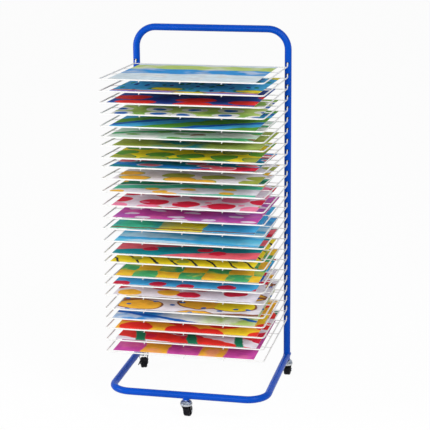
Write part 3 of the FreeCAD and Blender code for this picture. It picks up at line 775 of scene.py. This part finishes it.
class RACK_OT_sheets(bpy.types.Operator):
    """Lays a painted sheet on every shelf"""
    bl_idname = "rack.sheets"
    bl_label = "Painted sheets"

    def execute(self, context):
        sizes = context.scene.drying_rack.sheet
        waves = bpy.data.textures.new("cockle", type="CLOUDS")
        waves.noise_scale = WAVE_SIZE
        waves.noise_depth = 1
        waves.contrast = WAVE_CONTRAST
        # Clamped, so that no hollow of the waves reaches down to the plate.
        waves.use_clamp = True
        back = sheet_back()
        for index, name in enumerate(SHELVES):
            self.lay(index, name, sizes, waves, back)
        return {"FINISHED"}

    def plate(self, name):
        """Where the plain plate of a shelf's sheet lies, from its underside's middle, and its two sides."""
        mesh = NODES[name].data
        broad = {index for face in mesh.polygons if face.area > PLATE_FACE for index in face.vertices}
        corners = [mesh.vertices[index].co for index in broad]
        middle = sum(corners, Vector()) / len(corners)
        left_front = min(corners, key=lambda corner: corner.x + corner.y)
        right_front = min(corners, key=lambda corner: corner.y - corner.x)
        left_rear = min(corners, key=lambda corner: corner.x - corner.y)
        across, back = right_front - left_front, left_rear - left_front
        up = across.cross(back).normalized()
        side = across.normalized()
        turn = Matrix((side, up.cross(side), up)).transposed().to_4x4()
        turn.translation = middle + up * min((corner - middle).dot(up) for corner in corners)
        return turn, across.length, back.length

    def lay(self, index, name, sizes, waves, back):
        """A sheet over the plate, a little larger all round, flat below and with paint's waves above."""
        place, width, depth = self.plate(name)
        width += 2 * SHEET_PROUD
        depth += 2 * SHEET_PROUD
        deselect()
        bpy.ops.mesh.primitive_grid_add(
            x_subdivisions=SHEET_CELLS[0], y_subdivisions=SHEET_CELLS[1], size=1.0, calc_uvs=True,
            location=(0, 0, sizes.thickness - SHEET_UNDER))
        bpy.context.active_object.scale = (width, depth, 1.0)
        piece = settle("sheet_%02d" % (index + 1))
        self.cockle(piece, place, width, depth, waves, sizes.cockle)
        self.close(sizes.thickness)
        # The front of the sheet is painted, its back and its edges are bare paper.
        piece.data.materials.append(painted_sheet(index, width, depth))
        piece.data.materials.append(back)
        for face in piece.data.polygons:
            face.material_index = 0 if face.normal.z > 0.5 else 1
        piece.matrix_world = place
        piece = settle(piece.name)
        smooth(piece, 50)
        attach(piece, name)

    def cockle(self, piece, place, width, depth, waves, height):
        """Raises a flat sheet in the waves of the place where it will lie, which die out at its edges."""
        raised = piece.vertex_groups.new(name="raised")
        for vertex in piece.data.vertices:
            edge = min(width / 2 - abs(vertex.co.x), depth / 2 - abs(vertex.co.y))
            raised.add([vertex.index], min(1.0, edge / WAVE_FADE) ** 2, "REPLACE")
        cockle = piece.modifiers.new("cockle", "DISPLACE")
        cockle.texture = waves
        cockle.texture_coords = "GLOBAL"
        cockle.vertex_group = raised.name
        cockle.mid_level = 0.0
        cockle.strength = height
        piece.matrix_world = place
        bpy.context.view_layer.objects.active = piece
        bpy.ops.object.modifier_apply(modifier=cockle.name)
        piece.matrix_world = Matrix.Identity(4)
        piece.vertex_groups.clear()

    def close(self, thickness):
        """Gives the active sheet its thickness, down to a flat underside."""
        bpy.ops.object.mode_set(mode="EDIT")
        bpy.ops.mesh.select_all(action="SELECT")
        bpy.ops.mesh.extrude_region_move(TRANSFORM_OT_translate={"value": (0, 0, -thickness)})
        bpy.ops.transform.resize(value=(1, 1, 0), center_override=(0, 0, -SHEET_UNDER))
        bpy.ops.mesh.select_all(action="SELECT")
        bpy.ops.mesh.normals_make_consistent(inside=False)
        bpy.ops.object.mode_set(mode="OBJECT")


class RACK_OT_stage(bpy.types.Operator):
    """Sets the floor, the light and the camera"""
    bl_idname = "rack.stage"
    bl_label = "Stage"

    def execute(self, context):
        settings = context.scene.drying_rack.stage
        self.floor(settings.floor, settings.whiteness)
        self.world(context.scene, settings.fill)
        for name, (place, size) in SOFTBOXES.items():
            self.softbox(name + "_softbox", place, size, getattr(settings, name))
        self.camera(context.scene)
        context.scene.view_settings.view_transform = "Standard"
        return {"FINISHED"}

    def floor(self, colour, whiteness):
        """A pale floor that is mostly seen as plain white, and keeps a soft shadow."""
        deselect()
        bpy.ops.mesh.primitive_plane_add(size=FLOOR_SIZE, location=(0, 0, 0))
        piece = bpy.context.active_object
        piece.name = "floor"
        finish = Finish("floor", 0.9)
        finish.set("Base Color", opaque(colour))
        finish.set("Specular IOR Level", 0.0)
        white = finish.add("Emission", {"Color": (1, 1, 1, 1), "Strength": 1.0})
        seen = finish.math("MULTIPLY", seen_ray(finish.nodes, finish.links), whiteness)
        mixed = finish.add("MixShader", {0: seen, 1: finish.shader.outputs[0], 2: white.outputs[0]})
        finish.links.new(mixed.outputs[0], finish.nodes["Material Output"].inputs["Surface"])
        piece.data.materials.append(finish.material)

    def world(self, scene, fill):
        """A world that is seen as plain white, and lights the rack more weakly."""
        world = bpy.data.worlds.new("studio")
        scene.world = world
        world.use_nodes = True
        nodes, links = world.node_tree.nodes, world.node_tree.links
        background = nodes["Background"]
        background.inputs["Color"].default_value = (1, 1, 1, 1)
        strength = nodes.new("ShaderNodeMapRange")
        strength.inputs["To Min"].default_value = fill
        strength.inputs["To Max"].default_value = 1.0
        links.new(seen_ray(nodes, links), strength.inputs["Value"])
        links.new(strength.outputs["Result"], background.inputs["Strength"])

    def softbox(self, name, place, size, power):
        """An area lamp that points at the middle of the rack."""
        lamp = bpy.data.lights.new(name, "AREA")
        lamp.energy = power
        lamp.shape = "RECTANGLE"
        lamp.size, lamp.size_y = size
        holder = bpy.data.objects.new(name, lamp)
        bpy.context.scene.collection.objects.link(holder)
        holder.location = place
        middle = (CAD_BOX[0] + CAD_BOX[1]) / 2
        holder.rotation_euler = (middle - Vector(place)).to_track_quat("-Z", "Y").to_euler()

    def camera(self, scene):
        lens = bpy.data.cameras.new("camera")
        lens.lens = CAMERA_LENS_MM
        lens.sensor_width = CAMERA_SENSOR_MM
        lens.clip_end = CAMERA_REACH
        holder = bpy.data.objects.new("camera", lens)
        scene.collection.objects.link(holder)
        level = Matrix.Rotation(CAMERA_YAW, 4, "Z") @ Matrix.Rotation(math.pi / 2 - CAMERA_PITCH, 4, "X")
        roll = Matrix.Rotation(CAMERA_ROLL, 4, "Z")
        holder.matrix_world = Matrix.Translation(CAMERA_PLACE) @ level @ roll
        scene.camera = holder


class RACK_PT_panel(bpy.types.Panel):
    """Lists the steps, each with its sizes and colours"""
    bl_label = "Drying rack"
    bl_idname = "RACK_PT_panel"
    bl_space_type = "VIEW_3D"
    bl_region_type = "UI"
    bl_category = "Drying rack"

    def draw(self, context):
        settings = context.scene.drying_rack
        for operator, group in STEPS:
            box = self.layout.box()
            box.operator(operator.bl_idname)
            values = getattr(settings, group)
            for key in values.bl_rna.properties.keys():
                if key not in ("rna_type", "name"):
                    box.prop(values, key)


STEPS = [
    (RACK_OT_frame, "frame"),
    (RACK_OT_shelves, "wire"),
    (RACK_OT_casters, "caster"),
    (RACK_OT_sheets, "sheet"),
    (RACK_OT_stage, "stage"),
]
CLASSES = [FrameFinish, WireFinish, CasterFinish, SheetSizes, StageSettings, RackSettings]
CLASSES += [operator for operator, group in STEPS] + [RACK_PT_panel]


def register():
    for item in CLASSES:
        bpy.utils.register_class(item)
    bpy.types.Scene.drying_rack = bpy.props.PointerProperty(type=RackSettings)


def unregister():
    del bpy.types.Scene.drying_rack
    for item in reversed(CLASSES):
        bpy.utils.unregister_class(item)


def main():
    register()
    bpy.ops.rack.frame()
    bpy.ops.rack.shelves()
    bpy.ops.rack.casters()
    bpy.ops.rack.sheets()
    bpy.ops.rack.stage()


if __name__ == "__main__":
    main()
